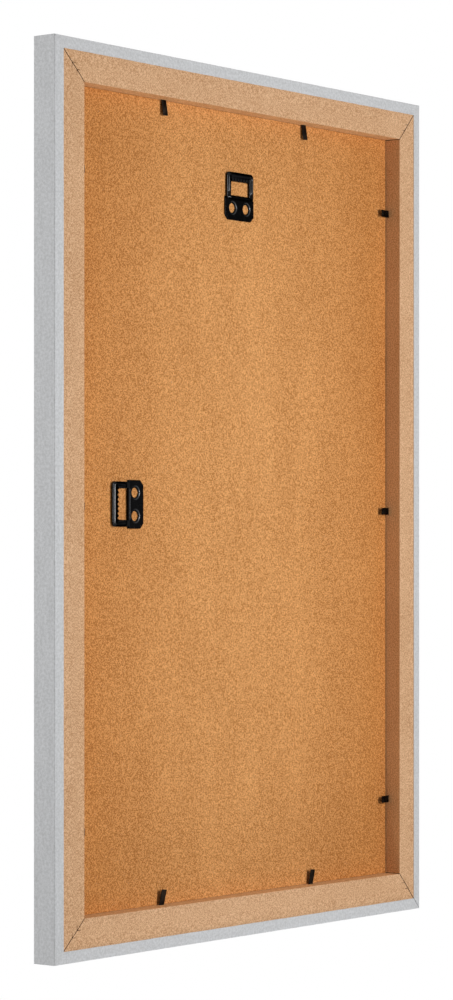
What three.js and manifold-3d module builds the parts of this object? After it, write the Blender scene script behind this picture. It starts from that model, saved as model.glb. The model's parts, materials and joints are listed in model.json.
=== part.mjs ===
// A back-loading picture frame for one 400 x 600 mm picture. Four mitred MDF rails carry a printed foil and
// are pinned by V-nails at the corners. Glazing, a blank insert sheet and a hardboard back lie in the rebate,
// held by ten soft steel tabs driven into its walls, and two folding hangers are clenched to the back.
// Millimetres. X runs along the top rail, Y from the front to the back, and Z is up. The origin is where a
// nail carries the top hanger. Left and right are as seen from the back, so left is towards +X.
import * as THREE from "three";
import { mergeVertices } from "three/addons/utils/BufferGeometryUtils.js";
import Module from "manifold-3d";

const wasm = await Module();
wasm.setup();

// What lies in the rebate
const PICTURE_WIDTH = 400;
const PICTURE_HEIGHT = 600;
const PICTURE_CLEARANCE = 1; // picture edge to rebate wall
const GLAZING_THICKNESS = 2;
const INSERT_THICKNESS = 0.25;
const BOARD_THICKNESS = 2;
const BOARD_SIDE_CLEARANCE = 1; // board edge to rebate wall, at the sides
const BOARD_END_CLEARANCE = 0.2; // at the top and the bottom
const PACK_GAP = 0.1; // between one sheet and the next

// Rails
const RAIL_BACK_WIDTH = 31; // outer side to rebate wall
const RAIL_DEPTH = 20; // at the outer side
const BACK_RISE = 1.75; // how much deeper the rail is at the rebate, where it meets the wall
const BACK_FLAT = 5; // flat beside the rebate, before the back slopes to the outer side
const LIP_OVERLAP = 5; // how far the front lip covers the picture
const LIP_THICKNESS = 3.3;
const EDGE_RADIUS = 0.6;
const MITRE_GAP = 0.6;

// Foil
const FOIL_THICKNESS = 0.3;
const GLUE_LINE = 0.1;
const FOIL_BACK_STRIP = 9; // how far the foil turns in over the back
const FOIL_MITRE_GAP = 0.12;

// V-nails
const NAIL_LEG = 4;
const NAIL_HEIGHT = 10;
const NAIL_THICKNESS = 0.3;
const NAIL_SINK = 0.4; // top of the nail below the bare back
const OUTER_NAIL_SHARE = 0.42; // rebate wall to the nail's apex, of the rail's back width
const INNER_NAIL_SHARE = 0.26;
const NAIL_CLEARANCE = 0.1;

// Tabs
const TAB_WIDTH = 5.6;
const TAB_THICKNESS = 0.5;
const TAB_REACH = 11.8; // rebate wall to free end
const TAB_HEIGHT = 2.3; // above the board, at the wall
const TOP_TAB_HEIGHT = 1.2; // the top rail's tabs went in lower
const TAB_TILT = THREE.MathUtils.degToRad(8);
const TAB_STUB = 0.3; // shank left standing out of the wall
const TAB_BEND_GAP = 0.2;
const SHANK_DEPTH = 6; // driven into the rail
const SHANK_POINT = 3;
const SHANK_POINT_WIDTH = 1.5;
const SHANK_CLEARANCE = 0.1;

// Where the tabs were fired, from the nearest corner of the rebate
const TOP_TAB_FROM_LEFT = 107;
const TOP_TAB_FROM_RIGHT = 117;
const BOTTOM_TAB_FROM_LEFT = 103;
const BOTTOM_TAB_FROM_RIGHT = 109;
const SIDE_TAB_FROM_TOP = 61;
const SIDE_TAB_FROM_BOTTOM = 61;
const SIDE_TAB_BELOW_MIDDLE = 4;
const TOP_TAB_SKEW = THREE.MathUtils.degToRad(2.5); // four tabs went in aslant
const BOTTOM_LEFT_TAB_SKEW = THREE.MathUtils.degToRad(-8);
const BOTTOM_RIGHT_TAB_SKEW = THREE.MathUtils.degToRad(-5);

// Hanger straps
const STRAP_WIDTH = 36;
const STRAP_REACH = 17.4; // hinge axis to far edge
const STRAP_THICKNESS = 0.6;
const STRAP_SLIT = 0.1; // between the folded layers
const STRAP_SHOULDER = 0.4; // how far the lower layer runs past the hinge axis, beside the knuckle
const STRAP_CHAMFER = 3.75;
const STRAP_SEAT_GAP = 0.1;
const HOLE_DIAMETER = 8.2;
const HOLE_PITCH = 17.3;
const HOLE_SETBACK = 8.1; // hinge axis to hole centre
const RIM_DIAMETER = 11.2;
const RIM_DEPTH = 0.55;
const CLAW_WIDTH = 4.6;
const CLAW_TIP_WIDTH = 0.8;
const CLAW_SETBACK = 0.1; // hole's edge to the claws round it
const CLAW_SHORTFALL = 0.3; // claw tip to the board's front
const CLAW_CLEARANCE = 0.3;

// Hanger loops
const LOOP_WIDTH = 33.3;
const LOOP_REACH = 19.4; // hinge axis to outer edge
const LOOP_LEG = 5;
const LOOP_BAR = 7.2; // tooth tips to outer edge
const LOOP_THICKNESS = 1.2;
const LOOP_CORNER = 3;
const LOOP_BEVEL = 0.3;
const RIB_WIDTH = 4.2; // a rib is pressed up along the legs and the bar
const RIB_HEIGHT = 0.9;
const RIB_FROM_AXIS = 4.2;
const RIB_ROOT = 0.05; // how far its rounded corners go into the loop's face
const LOOP_FROM_WALL = 46; // rebate wall to the loop's outer edge
const SIDE_HANGER_BELOW_MIDDLE = 2;
const LEG_CLEARANCE = 0.35; // leg to knuckle
const PIN_RADIUS = 0.75;
const PIN_CLEARANCE = 0.2;
const PIN_END_INSET = 0.3;
const NOTCH_PITCH = 3.4;
const NOTCH_DEPTH = 1.1;
const NOTCH_MOUTH = 2.4;
const NOTCH_ROOT = 0.9;

// Fineness of curves, and how far a cut runs past what it cuts
const EDGE_STEPS = 2;
const KNUCKLE_STEPS = 9;
const CORNER_STEPS = 3;
const ROUND_SIDES = 20;
const HOLE_SIDES = 16;
const CUT_OVERRUN = 1;
const MERGE_DISTANCE = 1e-4;

// Sizes that follow from those above
const OPENING_WIDTH = PICTURE_WIDTH + 2 * PICTURE_CLEARANCE;
const OPENING_HEIGHT = PICTURE_HEIGHT + 2 * PICTURE_CLEARANCE;
const FRAME_WIDTH = OPENING_WIDTH + 2 * RAIL_BACK_WIDTH;
const FRAME_HEIGHT = OPENING_HEIGHT + 2 * RAIL_BACK_WIDTH;
const SKIN = FOIL_THICKNESS + GLUE_LINE;
const FACE_WIDTH = RAIL_BACK_WIDTH + LIP_OVERLAP;
const BARE_BACK = RAIL_DEPTH + BACK_RISE - SKIN; // on the flat
const BACK_GRADIENT = BACK_RISE / (RAIL_BACK_WIDTH - BACK_FLAT);
const BACK_SLOPE = Math.atan(BACK_GRADIENT);
const BACK_EDGE_CENTRE = RAIL_DEPTH + EDGE_RADIUS * (BACK_GRADIENT - Math.hypot(1, BACK_GRADIENT));
const GLAZING_FRONT = LIP_THICKNESS + PACK_GAP;
const INSERT_FRONT = GLAZING_FRONT + GLAZING_THICKNESS + PACK_GAP;
const BOARD_FRONT = INSERT_FRONT + INSERT_THICKNESS + PACK_GAP;
const BOARD_BACK = BOARD_FRONT + BOARD_THICKNESS;
const TAB_BEND = TAB_STUB + TAB_BEND_GAP + TAB_THICKNESS / 2; // wall to bend line
const BORE_RADIUS = PIN_RADIUS + PIN_CLEARANCE;
const KNUCKLE_RADIUS = BORE_RADIUS + STRAP_THICKNESS;
const KNUCKLE_HALF = LOOP_WIDTH / 2 - LOOP_LEG - LEG_CLEARANCE;
const AXIS_HEIGHT = STRAP_SEAT_GAP + KNUCKLE_RADIUS; // above the board
const LOWER_LAYER_TOP = STRAP_SEAT_GAP + STRAP_THICKNESS;
const STRAP_TOP = LOWER_LAYER_TOP + STRAP_SLIT + STRAP_THICKNESS;
const CLAW_RADIUS = HOLE_DIAMETER / 2 + CLAW_SETBACK + STRAP_THICKNESS / 2; // hole centre to a claw's middle
const TOOTH_TIPS = LOOP_REACH - LOOP_BAR;
const NAIL_SEAT = TOOTH_TIPS + NOTCH_DEPTH; // hinge axis to the notch that takes the nail
const QUARTER = Math.PI / 2;

function finish(color, roughness, metalness) {
  return new THREE.MeshStandardMaterial({ color, roughness, metalness });
}
const bareMdf = () => finish(0xcda376, 0.85, 0);
const greyFoil = () => finish(0xc2c4c6, 0.45, 0);
const clearSheet = () => new THREE.MeshStandardMaterial({
  color: 0xf4f8f8,
  roughness: 0.05,
  metalness: 0,
  transparent: true,
  opacity: 0.25,
});
const whitePaper = () => finish(0xf3f1ea, 0.9, 0);
const hardboard = () => finish(0xc4854b, 0.7, 0);
const blackSteel = () => finish(0x1b1b1c, 0.35, 0.4);
const brightSteel = () => finish(0x9a9a98, 0.4, 0.9);

// Geometry to solid and back, for cuts and joins
function toSolid(geometry) {
  const bare = geometry.clone();
  bare.deleteAttribute("normal");
  bare.deleteAttribute("uv");
  const merged = mergeVertices(bare, MERGE_DISTANCE);
  const vertProperties = merged.attributes.position.array;
  const triVerts = new Uint32Array(merged.index.array);
  return new wasm.Manifold(new wasm.Mesh({ numProp: 3, vertProperties, triVerts }));
}

function toGeometry(solid) {
  const { vertProperties, triVerts } = solid.getMesh();
  const shared = new THREE.BufferGeometry();
  shared.setAttribute("position", new THREE.BufferAttribute(vertProperties, 3));
  shared.setIndex(new THREE.BufferAttribute(triVerts, 1));
  const facets = shared.toNonIndexed();
  facets.computeVertexNormals();
  return facets;
}

function cut(body, tools) {
  const left = tools.reduce((solid, tool) => solid.subtract(toSolid(tool)), toSolid(body));
  return toGeometry(left);
}

function join(pieces) {
  const whole = pieces.map(toSolid).reduce((solid, piece) => solid.add(piece));
  return toGeometry(whole);
}

// A block between two values along each axis
function block([x0, x1], [y0, y1], [z0, z1]) {
  const box = new THREE.BoxGeometry(x1 - x0, y1 - y0, z1 - z0);
  return box.translate((x0 + x1) / 2, (y0 + y1) / 2, (z0 + z1) / 2);
}

// An outline drawn in X and Z, as thick as the range of Y
function slab(outline, [y0, y1]) {
  const flat = new THREE.ExtrudeGeometry(outline, { depth: y1 - y0, bevelEnabled: false });
  return flat.rotateX(QUARTER).translate(0, y1, 0);
}

function polygon(points) {
  return new THREE.Shape(points.map(([x, y]) => new THREE.Vector2(x, y)));
}

function both(middle, half) {
  return [middle - half, middle + half];
}

// A profile of (inward, back) carried along X, cut at 45 degrees at both ends. The outer side lies at Z = 0.
function mitredBar(profile, length, gap) {
  const bar = new THREE.ExtrudeGeometry(profile, {
    depth: 1,
    bevelEnabled: false,
    curveSegments: EDGE_STEPS,
  });
  const setback = gap * Math.SQRT1_2;
  const place = bar.attributes.position;
  for (let i = 0; i < place.count; i += 1) {
    const inward = place.getX(i);
    const side = 2 * place.getZ(i) - 1;
    place.setXYZ(i, side * (length / 2 - inward - setback), place.getY(i), -inward);
  }
  return bar;
}

function coreProfile() {
  const round = EDGE_RADIUS - SKIN;
  const profile = new THREE.Shape();
  profile.absarc(EDGE_RADIUS, EDGE_RADIUS, round, Math.PI, 3 * QUARTER, false);
  profile.absarc(FACE_WIDTH - EDGE_RADIUS, EDGE_RADIUS, round, 3 * QUARTER, 4 * QUARTER, false);
  profile.lineTo(FACE_WIDTH - SKIN, LIP_THICKNESS);
  profile.lineTo(RAIL_BACK_WIDTH, LIP_THICKNESS);
  profile.lineTo(RAIL_BACK_WIDTH, BARE_BACK);
  profile.lineTo(RAIL_BACK_WIDTH - BACK_FLAT, BARE_BACK);
  profile.absarc(EDGE_RADIUS, BACK_EDGE_CENTRE, round, QUARTER + BACK_SLOPE, Math.PI, false);
  return profile;
}

function foilProfile() {
  const round = EDGE_RADIUS - FOIL_THICKNESS;
  const sight = FACE_WIDTH - EDGE_RADIUS;
  const upright = QUARTER + BACK_SLOPE;
  const trimmed = RAIL_DEPTH + FOIL_BACK_STRIP * BACK_GRADIENT;
  const profile = new THREE.Shape();
  profile.moveTo(FOIL_BACK_STRIP, trimmed - FOIL_THICKNESS / Math.cos(BACK_SLOPE));
  profile.lineTo(FOIL_BACK_STRIP, trimmed);
  profile.absarc(EDGE_RADIUS, BACK_EDGE_CENTRE, EDGE_RADIUS, upright, Math.PI, false);
  profile.absarc(EDGE_RADIUS, EDGE_RADIUS, EDGE_RADIUS, Math.PI, 3 * QUARTER, false);
  profile.absarc(sight, EDGE_RADIUS, EDGE_RADIUS, 3 * QUARTER, 4 * QUARTER, false);
  profile.lineTo(FACE_WIDTH, LIP_THICKNESS);
  profile.lineTo(FACE_WIDTH - FOIL_THICKNESS, LIP_THICKNESS);
  profile.absarc(sight, EDGE_RADIUS, round, 4 * QUARTER, 3 * QUARTER, true);
  profile.absarc(EDGE_RADIUS, EDGE_RADIUS, round, 3 * QUARTER, Math.PI, true);
  profile.absarc(EDGE_RADIUS, BACK_EDGE_CENTRE, round, Math.PI, upright, true);
  return profile;
}

// Top of a V-nail whose apex lies at that distance from the outer side, under the sloping bare back
function nailTop(inset) {
  return BARE_BACK - BACK_GRADIENT * (RAIL_BACK_WIDTH - BACK_FLAT - inset) - NAIL_SINK;
}

const nailInsets = {
  outer: RAIL_BACK_WIDTH * (1 - OUTER_NAIL_SHARE),
  inner: RAIL_BACK_WIDTH * (1 - INNER_NAIL_SHARE),
};

// The groove that one leg of a V-nail has pressed into the end of a rail; side is which end, 1 or -1
function nailGroove(length, side, inset) {
  const reach = [inset - NAIL_CLEARANCE, inset + NAIL_LEG + NAIL_CLEARANCE];
  const along = reach.map((from) => side * (length / 2 - from));
  const inward = [-inset - NAIL_THICKNESS - NAIL_CLEARANCE, -inset + NAIL_CLEARANCE];
  const depth = [nailTop(inset) - NAIL_HEIGHT - NAIL_CLEARANCE, BARE_BACK + CUT_OVERRUN];
  return block(along.sort((a, b) => a - b), depth, inward);
}

// Where a tab enters the rebate wall, turned by its skew
function tabPlace({ along, height = TAB_HEIGHT, skew = 0 }) {
  const turned = new THREE.Matrix4().makeRotationY(skew);
  return turned.setPosition(along, BOARD_BACK + height, -RAIL_BACK_WIDTH);
}

// The slot that a tab's shank has cut into the rebate wall
function shankSlot(tab) {
  const slot = block(
    both(0, TAB_WIDTH / 2 + SHANK_CLEARANCE),
    both(0, TAB_THICKNESS / 2 + SHANK_CLEARANCE),
    [-CUT_OVERRUN, SHANK_DEPTH + SHANK_CLEARANCE],
  );
  return slot.applyMatrix4(tabPlace(tab));
}

function railCore({ length, tabs }) {
  const grooves = [1, -1].flatMap((side) =>
    Object.values(nailInsets).map((inset) => nailGroove(length, side, inset)),
  );
  return cut(mitredBar(coreProfile(), length, MITRE_GAP), [...grooves, ...tabs.map(shankSlot)]);
}

// An angle of two legs along the rails that meet at a corner; sideX and sideZ say which corner, each 1 or -1
function vNail(sideX, sideZ, inset) {
  const far = inset + NAIL_LEG;
  const inside = inset + NAIL_THICKNESS;
  const outline = [
    [inset, inset],
    [far, inset],
    [far, inside],
    [inside, inside],
    [inside, far],
    [inset, far],
  ].map(([p, q]) => [sideX * (FRAME_WIDTH / 2 - p), sideZ * (FRAME_HEIGHT / 2 - q)]);
  return slab(polygon(outline), [nailTop(inset) - NAIL_HEIGHT, nailTop(inset)]);
}

// The part of a tab that stays in the rail, pointed at its inner end, up to the bend line
function tabShank() {
  const half = TAB_WIDTH / 2;
  const outline = polygon([
    [-half, -TAB_STUB],
    [half, -TAB_STUB],
    [half, SHANK_DEPTH - SHANK_POINT],
    [SHANK_POINT_WIDTH / 2, SHANK_DEPTH],
    [-SHANK_POINT_WIDTH / 2, SHANK_DEPTH],
    [-half, SHANK_DEPTH - SHANK_POINT],
  ]);
  return slab(outline, both(0, TAB_THICKNESS / 2));
}

// The part of a tab that bends, with its round end on the bend line and its free end along -Z
function tabBlade() {
  const length = TAB_REACH - TAB_BEND;
  const half = TAB_THICKNESS / 2;
  const profile = new THREE.Shape();
  profile.moveTo(length, half);
  profile.lineTo(0, half);
  profile.absarc(0, 0, half, QUARTER, 3 * QUARTER, false);
  profile.lineTo(length, -half);
  const blade = new THREE.ExtrudeGeometry(profile, {
    depth: TAB_WIDTH,
    bevelEnabled: false,
    curveSegments: CORNER_STEPS,
  });
  return blade.translate(0, 0, -TAB_WIDTH / 2).rotateY(QUARTER);
}

// The section of a strap folded double round the loop's pin: (towards the loop, above the board)
function strapProfile() {
  const upperUnder = LOWER_LAYER_TOP + STRAP_SLIT;
  const outerMeets = Math.PI + Math.asin((AXIS_HEIGHT - STRAP_TOP) / KNUCKLE_RADIUS);
  const boreMeets = Math.PI + Math.asin((AXIS_HEIGHT - upperUnder) / BORE_RADIUS);
  const profile = new THREE.Shape();
  profile.moveTo(-STRAP_REACH, STRAP_SEAT_GAP);
  profile.lineTo(0, STRAP_SEAT_GAP);
  profile.absarc(0, AXIS_HEIGHT, KNUCKLE_RADIUS, -QUARTER, outerMeets, false);
  profile.lineTo(-STRAP_REACH, STRAP_TOP);
  profile.lineTo(-STRAP_REACH, upperUnder);
  profile.absarc(0, AXIS_HEIGHT, BORE_RADIUS, boreMeets, -QUARTER, true);
  profile.lineTo(-STRAP_REACH, LOWER_LAYER_TOP);
  return profile;
}

// Four claws are bent down round each of the two holes: a claw's place on the strap, and its turn about Y
const claws = [-HOLE_PITCH / 2, HOLE_PITCH / 2].flatMap((hole) =>
  [0.5, 1.5, 2.5, 3.5].map((quarters) => {
    const turn = quarters * QUARTER;
    const x = hole + CLAW_RADIUS * Math.sin(turn);
    const z = CLAW_RADIUS * Math.cos(turn) - HOLE_SETBACK;
    return { x, z, turn };
  }),
);

function claw({ x, z, turn }) {
  const root = STRAP_SEAT_GAP + STRAP_THICKNESS / 2;
  const tip = CLAW_SHORTFALL - BOARD_THICKNESS;
  const outline = polygon([
    [-CLAW_WIDTH / 2, root],
    [-CLAW_TIP_WIDTH / 2, tip],
    [CLAW_TIP_WIDTH / 2, tip],
    [CLAW_WIDTH / 2, root],
  ]);
  const spike = new THREE.ExtrudeGeometry(outline, { depth: STRAP_THICKNESS, bevelEnabled: false });
  return spike.translate(0, 0, -STRAP_THICKNESS / 2).rotateY(turn).translate(x, 0, z);
}

function clawPocket({ x, z, turn }) {
  const pocket = block(
    both(0, CLAW_WIDTH / 2 + CLAW_CLEARANCE),
    [-BOARD_THICKNESS - CUT_OVERRUN, CUT_OVERRUN],
    both(0, STRAP_THICKNESS / 2 + CLAW_CLEARANCE),
  );
  return pocket.rotateY(turn).translate(x, 0, z);
}

function hangerStrap() {
  const folded = new THREE.ExtrudeGeometry(strapProfile(), {
    depth: STRAP_WIDTH,
    bevelEnabled: false,
    curveSegments: KNUCKLE_STEPS,
  });
  folded.translate(0, 0, -STRAP_WIDTH / 2).rotateY(-QUARTER);
  const wide = STRAP_WIDTH / 2 + CUT_OVERRUN;
  const high = [-CUT_OVERRUN, AXIS_HEIGHT + KNUCKLE_RADIUS + CUT_OVERRUN];
  const past = KNUCKLE_RADIUS + CUT_OVERRUN;
  const far = -STRAP_REACH;
  const edge = STRAP_WIDTH / 2;
  const rimSlope = (RIM_DIAMETER - HOLE_DIAMETER) / 2 / RIM_DEPTH;
  const tools = [-1, 1].flatMap((side) => {
    const shoulder = [side * KNUCKLE_HALF, side * wide].sort((a, b) => a - b);
    const corner = polygon([
      [side * (edge - STRAP_CHAMFER), far],
      [side * (edge - STRAP_CHAMFER - CUT_OVERRUN), far - CUT_OVERRUN],
      [side * (edge + CUT_OVERRUN), far - CUT_OVERRUN],
      [side * (edge + CUT_OVERRUN), far + STRAP_CHAMFER + CUT_OVERRUN],
      [side * edge, far + STRAP_CHAMFER],
    ]);
    const hole = new THREE.CylinderGeometry(
      HOLE_DIAMETER / 2,
      HOLE_DIAMETER / 2,
      high[1] - high[0],
      HOLE_SIDES,
    );
    const rim = new THREE.CylinderGeometry(
      RIM_DIAMETER / 2 + rimSlope * CUT_OVERRUN,
      HOLE_DIAMETER / 2,
      RIM_DEPTH + CUT_OVERRUN,
      HOLE_SIDES,
    );
    return [
      block(shoulder, high, [STRAP_SHOULDER, past]),
      block(shoulder, [LOWER_LAYER_TOP + STRAP_SLIT / 2, high[1]], [-BORE_RADIUS, past]),
      block(shoulder, [STRAP_TOP, high[1]], [-past, past]),
      slab(corner, high),
      hole.translate((side * HOLE_PITCH) / 2, (high[0] + high[1]) / 2, -HOLE_SETBACK),
      rim.translate((side * HOLE_PITCH) / 2, STRAP_TOP + (CUT_OVERRUN - RIM_DEPTH) / 2, -HOLE_SETBACK),
    ];
  });
  return join([cut(folded, tools), ...claws.map(claw)]);
}

// The rib along the loop: part of a circle on the loop's face in section, with part of a ball at each corner
function loopRib() {
  const half = RIB_WIDTH / 2;
  const face = LOOP_THICKNESS / 2;
  const radius = (half ** 2 + RIB_HEIGHT ** 2) / (2 * RIB_HEIGHT);
  const centre = face + RIB_HEIGHT - radius;
  const sweep = Math.asin(half / radius);
  const across = (LOOP_WIDTH - LOOP_LEG) / 2;
  const along = LOOP_REACH - LOOP_LEG / 2;
  const section = new THREE.Shape();
  section.moveTo(-half, 0);
  section.lineTo(half, 0);
  section.absarc(0, centre, radius, QUARTER - sweep, QUARTER + sweep, false);
  const run = (depth) =>
    new THREE.ExtrudeGeometry(section, { depth, bevelEnabled: false, curveSegments: KNUCKLE_STEPS });
  const below = block(
    both(0, LOOP_WIDTH),
    [centre - radius - CUT_OVERRUN, face - RIB_ROOT],
    both(along, LOOP_REACH),
  );
  const bar = run(2 * across).rotateY(QUARTER).translate(-across, 0, along);
  const ends = [-across, across].flatMap((x) => {
    const ball = new THREE.SphereGeometry(radius, ROUND_SIDES, ROUND_SIDES).translate(x, centre, along);
    return [run(along - RIB_FROM_AXIS).translate(x, 0, RIB_FROM_AXIS), cut(ball, [below])];
  });
  return [bar, ...ends];
}

// A ribbed U of sheet whose bar has notches for the nail, on a round pin along the hinge axis
function hangerLoop() {
  const half = LOOP_WIDTH / 2;
  const inside = half - LOOP_LEG;
  const eachSide = Math.floor((inside - NOTCH_MOUTH / 2) / NOTCH_PITCH);
  const outline = new THREE.Shape();
  outline.moveTo(half, 0);
  outline.lineTo(half, LOOP_REACH - LOOP_CORNER);
  outline.absarc(half - LOOP_CORNER, LOOP_REACH - LOOP_CORNER, LOOP_CORNER, 0, QUARTER, false);
  outline.absarc(LOOP_CORNER - half, LOOP_REACH - LOOP_CORNER, LOOP_CORNER, QUARTER, Math.PI, false);
  outline.lineTo(-half, 0);
  outline.lineTo(-inside, 0);
  outline.lineTo(-inside, TOOTH_TIPS);
  for (let i = -eachSide; i <= eachSide; i += 1) {
    const middle = i * NOTCH_PITCH;
    outline.lineTo(middle - NOTCH_MOUTH / 2, TOOTH_TIPS);
    outline.lineTo(middle - NOTCH_ROOT / 2, NAIL_SEAT);
    outline.lineTo(middle + NOTCH_ROOT / 2, NAIL_SEAT);
    outline.lineTo(middle + NOTCH_MOUTH / 2, TOOTH_TIPS);
  }
  outline.lineTo(inside, TOOTH_TIPS);
  outline.lineTo(inside, 0);
  const plate = new THREE.ExtrudeGeometry(outline, {
    depth: LOOP_THICKNESS - 2 * LOOP_BEVEL,
    bevelThickness: LOOP_BEVEL,
    bevelSize: LOOP_BEVEL,
    bevelOffset: -LOOP_BEVEL,
    bevelSegments: 1,
    curveSegments: CORNER_STEPS,
  });
  plate.translate(0, 0, LOOP_BEVEL - LOOP_THICKNESS / 2).rotateX(QUARTER);
  const pinLength = LOOP_WIDTH - 2 * PIN_END_INSET;
  const pin = new THREE.CylinderGeometry(PIN_RADIUS, PIN_RADIUS, pinLength, ROUND_SIDES);
  return join([plate, pin.rotateZ(QUARTER), ...loopRib()]);
}

// The four sides. A rail is drawn as the top one and turned about Y; along is a tab's place on it, where
// positive runs to the left on the top rail and clockwise round the frame as seen from the front.
const openX = OPENING_WIDTH / 2;
const openZ = OPENING_HEIGHT / 2;
const lowTab = { height: TOP_TAB_HEIGHT, skew: TOP_TAB_SKEW };
const sides = [
  {
    name: "top",
    turn: 0,
    reach: FRAME_HEIGHT / 2,
    length: FRAME_WIDTH,
    tabs: [
      { name: "top_left_tab", along: openX - TOP_TAB_FROM_LEFT, ...lowTab },
      { name: "top_right_tab", along: TOP_TAB_FROM_RIGHT - openX, ...lowTab },
    ],
  },
  {
    name: "left",
    turn: QUARTER,
    reach: FRAME_WIDTH / 2,
    length: FRAME_HEIGHT,
    tabs: [
      { name: "left_upper_tab", along: SIDE_TAB_FROM_TOP - openZ },
      { name: "left_middle_tab", along: SIDE_TAB_BELOW_MIDDLE },
      { name: "left_lower_tab", along: openZ - SIDE_TAB_FROM_BOTTOM },
    ],
  },
  {
    name: "bottom",
    turn: 2 * QUARTER,
    reach: FRAME_HEIGHT / 2,
    length: FRAME_WIDTH,
    tabs: [
      { name: "bottom_left_tab", along: BOTTOM_TAB_FROM_LEFT - openX, skew: BOTTOM_LEFT_TAB_SKEW },
      { name: "bottom_right_tab", along: openX - BOTTOM_TAB_FROM_RIGHT, skew: BOTTOM_RIGHT_TAB_SKEW },
    ],
  },
  {
    name: "right",
    turn: 3 * QUARTER,
    reach: FRAME_WIDTH / 2,
    length: FRAME_HEIGHT,
    tabs: [
      { name: "right_upper_tab", along: openZ - SIDE_TAB_FROM_TOP },
      { name: "right_middle_tab", along: -SIDE_TAB_BELOW_MIDDLE },
      { name: "right_lower_tab", along: SIDE_TAB_FROM_BOTTOM - openZ },
    ],
  },
];

const hangers = [
  { name: "top_hanger", turn: 0, along: 0, axisZ: openZ - LOOP_FROM_WALL - LOOP_REACH },
  {
    name: "side_hanger",
    turn: QUARTER,
    along: SIDE_HANGER_BELOW_MIDDLE,
    axisZ: openX - LOOP_FROM_WALL - LOOP_REACH,
  },
];

function hangerPlace({ turn, along, axisZ }) {
  const turned = new THREE.Matrix4().makeRotationY(turn);
  return turned.multiply(new THREE.Matrix4().makeTranslation(along, BOARD_BACK, axisZ));
}

function sheet(width, height, front, thickness) {
  return block(both(0, width / 2), [front, front + thickness], both(0, height / 2));
}

function backboard() {
  const width = OPENING_WIDTH - 2 * BOARD_SIDE_CLEARANCE;
  const height = OPENING_HEIGHT - 2 * BOARD_END_CLEARANCE;
  const plain = sheet(width, height, BOARD_FRONT, BOARD_THICKNESS);
  const pockets = hangers.flatMap((hanger) => {
    const place = hangerPlace(hanger);
    return claws.map((one) => clawPocket(one).applyMatrix4(place));
  });
  return cut(plain, pockets);
}

// The assembly, with its front at Y = 0 and its middle on the Z axis until the nail's seat becomes the origin
const frame = new THREE.Group();

function addPiece(parent, name, geometry, material) {
  const mesh = new THREE.Mesh(geometry, material);
  mesh.name = name;
  parent.add(mesh);
  return mesh;
}

for (const side of sides) {
  const rail = new THREE.Group();
  rail.rotation.y = side.turn;
  const edge = new THREE.Group();
  edge.position.z = side.reach;
  frame.add(rail.add(edge));
  addPiece(edge, `${side.name}_rail`, railCore(side), bareMdf());
  addPiece(edge, `${side.name}_foil`, mitredBar(foilProfile(), side.length, FOIL_MITRE_GAP), greyFoil());
  for (const tab of side.tabs) {
    const seat = new THREE.Group();
    seat.applyMatrix4(tabPlace(tab));
    edge.add(seat);
    addPiece(seat, `${tab.name}_shank`, tabShank(), blackSteel());
    const blade = addPiece(seat, tab.name, tabBlade(), blackSteel());
    blade.position.z = -TAB_BEND;
    blade.rotation.x = TAB_TILT;
  }
}

for (const [row, sideZ] of [["top", 1], ["bottom", -1]]) {
  for (const [column, sideX] of [["left", 1], ["right", -1]]) {
    for (const [place, inset] of Object.entries(nailInsets)) {
      addPiece(frame, `${row}_${column}_${place}_v_nail`, vNail(sideX, sideZ, inset), brightSteel());
    }
  }
}

const glazing = sheet(PICTURE_WIDTH, PICTURE_HEIGHT, GLAZING_FRONT, GLAZING_THICKNESS);
const insert = sheet(PICTURE_WIDTH, PICTURE_HEIGHT, INSERT_FRONT, INSERT_THICKNESS);
addPiece(frame, "glazing", glazing, clearSheet());
addPiece(frame, "insert_sheet", insert, whitePaper());
addPiece(frame, "backboard", backboard(), hardboard());

for (const hanger of hangers) {
  const seat = new THREE.Group();
  seat.applyMatrix4(hangerPlace(hanger));
  frame.add(seat);
  addPiece(seat, `${hanger.name}_strap`, hangerStrap(), blackSteel());
  const loop = addPiece(seat, `${hanger.name}_loop`, hangerLoop(), blackSteel());
  loop.position.y = AXIS_HEIGHT;
}

const [topHanger] = hangers;
frame.position.set(0, -BOARD_BACK - AXIS_HEIGHT, -topHanger.axisZ - NAIL_SEAT);

const pictureFrame = new THREE.Group();
pictureFrame.add(frame);

export default pictureFrame;
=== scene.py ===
"""Finishes a picture frame seen from its back: foil wraps, bent tabs, hangers, materials and studio."""

import json
import math

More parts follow.
